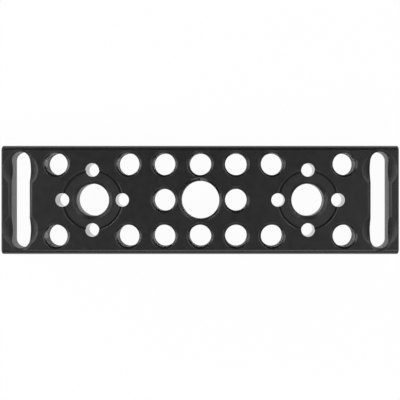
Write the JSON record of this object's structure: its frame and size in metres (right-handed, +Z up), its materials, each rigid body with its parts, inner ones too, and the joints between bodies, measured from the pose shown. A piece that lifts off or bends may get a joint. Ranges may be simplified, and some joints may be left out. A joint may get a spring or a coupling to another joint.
{
  "type": "tripod riser block",
  "caption": "Flat aluminium riser block with a grid of tapped holes, round seats ringed by pin holes and countersunk end slots, used between a tripod head and a camera plate.",
  "frame": {"origin": "middle of the underside, on the axis of the large tapped hole", "axes": "+X along the bar's length, +Y across the bar, +Z up, out of the face with the round seats"},
  "size_m": [0.1404, 0.0384, 0.0127],
  "materials": {
    "black_anodised": "satin black anodised, bead blasted"
  },
  "bodies": {
    "root": {"riser_block": "black_anodised"}
  },
  "joints": []
}
